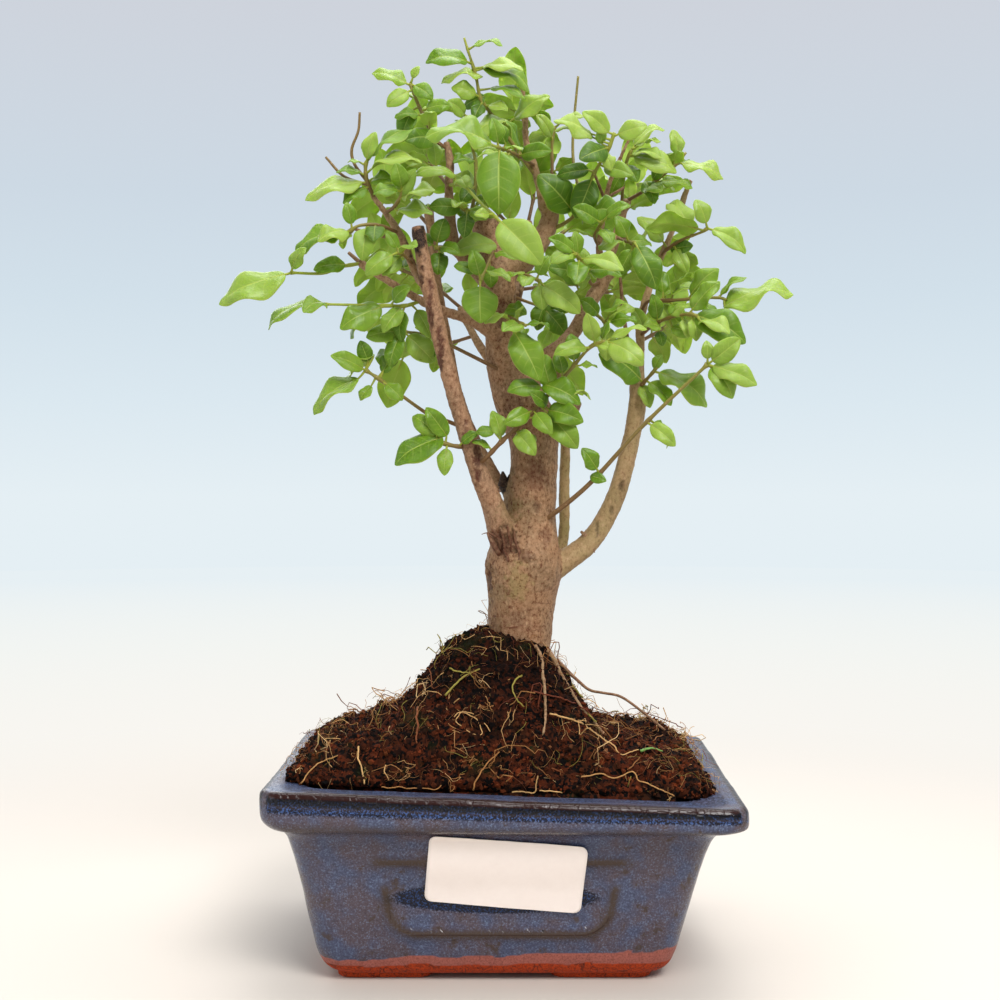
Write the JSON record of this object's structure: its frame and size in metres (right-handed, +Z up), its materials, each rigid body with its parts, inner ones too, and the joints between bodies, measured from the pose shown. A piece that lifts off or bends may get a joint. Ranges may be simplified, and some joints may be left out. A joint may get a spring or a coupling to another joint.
{
  "type": "chinese privet bonsai in a glazed rectangular pot",
  "caption": "Small broadleaf bonsai with a thick curved trunk, forked limbs and leafy shoots, rooted in a mound of soil in a low glazed rectangular pot with feet.",
  "frame": {"origin": "middle of the footprint of the whole object, on the surface that the feet stand on", "axes": "+Z up the trunk, X along the pot's long sides, -Y out of the side that carries the label"},
  "size_m": [0.1916, 0.12, 0.3217],
  "materials": {
    "glaze": "glossy mottled slate-blue stoneware glaze over terracotta",
    "paper": "smooth off-white paper label",
    "screen": "black moulded mesh",
    "soil": "dark brown crumbly potting soil with fine roots and moss",
    "bark": "dry tan-grey bark with reddish patches",
    "leaves": "satin green leaves with paler midribs, on thin green-brown stems"
  },
  "bodies": {
    "root": {"pot": "glaze", "label": "paper", "drain_mesh_left": "screen", "drain_mesh_right": "screen", "soil": "soil", "tree": "bark", "shoot_left_long": "leaves", "shoot_left_second": "leaves", "shoot_left_low": "leaves", "shoot_low_outer": "leaves", "shoot_low_stub": "leaves", "shoot_front_long": "leaves", "shoot_right_middle_low": "leaves", "shoot_front_middle": "leaves", "shoot_front_upper": "leaves", "shoot_heart_leaf": "leaves", "shoot_pale_front": "leaves", "shoot_big_front": "leaves", "shoot_crown": "leaves", "shoot_green_stem": "leaves", "shoot_dark_twig": "leaves", "shoot_reddish": "leaves", "shoot_right_upper": "leaves", "shoot_right_top": "leaves", "shoot_far_right": "leaves", "shoot_right_middle": "leaves", "shoot_right_level": "leaves", "shoot_right_lower": "leaves", "shoot_right_inner": "leaves", "shoot_trunk_right": "leaves", "shoot_right_sweep": "leaves", "shoot_right_side": "leaves", "shoot_left_tip": "leaves", "shoot_left_middle": "leaves", "shoot_left_down": "leaves", "shoot_left_inner": "leaves", "shoot_knob": "leaves", "shoot_dark_centre": "leaves", "shoot_top_left": "leaves", "shoot_upright": "leaves", "shoot_back_1": "leaves", "shoot_back_2": "leaves", "shoot_back_3": "leaves", "shoot_back_4": "leaves", "shoot_back_5": "leaves", "shoot_back_6": "leaves", "shoot_back_7": "leaves", "shoot_back_8": "leaves", "shoot_back_9": "leaves", "shoot_back_10": "leaves", "shoot_back_11": "leaves", "shoot_back_12": "leaves", "shoot_back_13": "leaves", "shoot_back_14": "leaves", "shoot_back_15": "leaves", "shoot_back_16": "leaves"}
  },
  "joints": []
}
